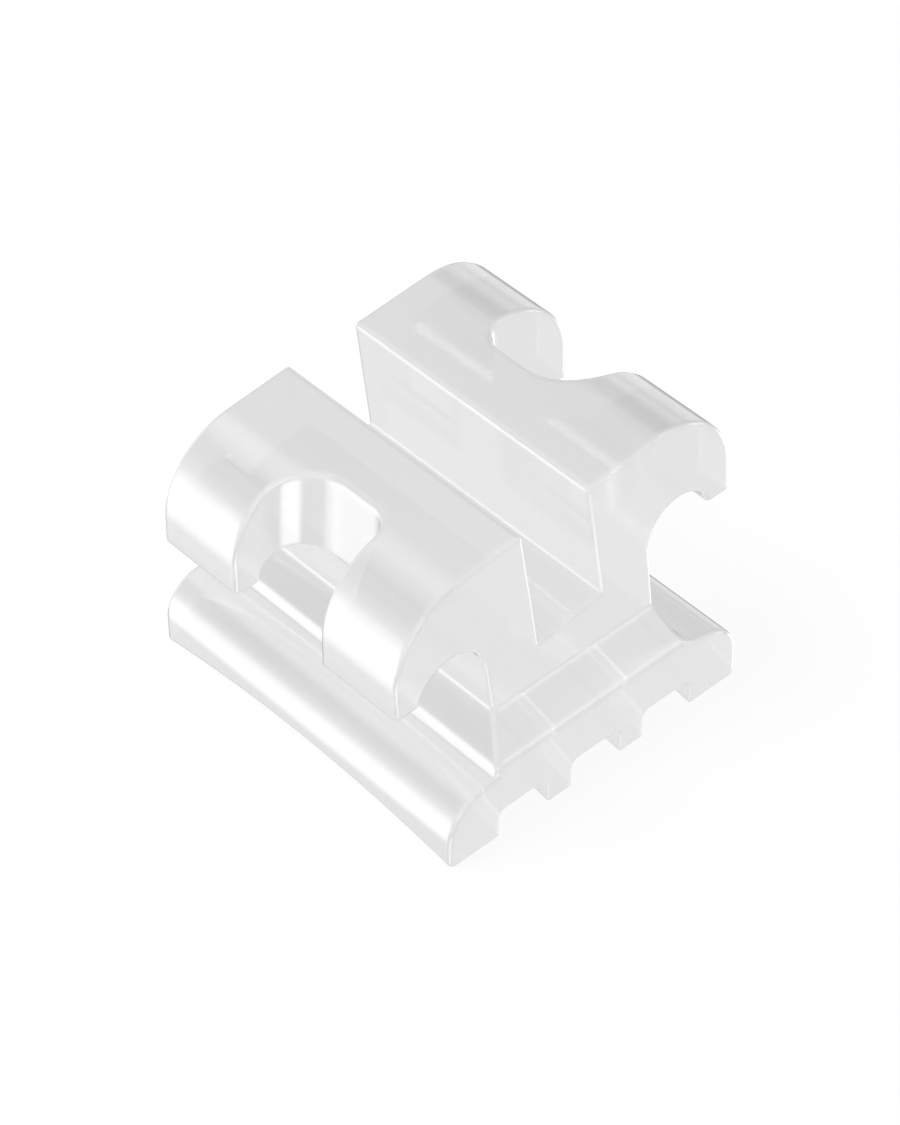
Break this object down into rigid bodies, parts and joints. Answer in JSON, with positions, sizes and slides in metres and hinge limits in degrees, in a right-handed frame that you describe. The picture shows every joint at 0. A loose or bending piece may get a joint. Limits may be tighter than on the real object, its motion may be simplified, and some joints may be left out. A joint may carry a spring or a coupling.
{
  "type": "orthodontic bracket",
  "caption": "Clear ceramic twin orthodontic bracket: an arched, grooved bonding pad that carries a tilted archwire slot between paired tie-wings parted by notches.",
  "frame": {"origin": "under the middle of the bonding pad, at the height of the pad's lowest ends", "axes": "+X along the archwire slot, +Y across it towards the rear pair of tie-wings, +Z away from the tooth"},
  "size_m": [0.0028, 0.003, 0.0022],
  "materials": {
    "clear_ceramic": "polished, clear"
  },
  "bodies": {
    "root": {"bracket": "clear_ceramic"}
  },
  "joints": []
}
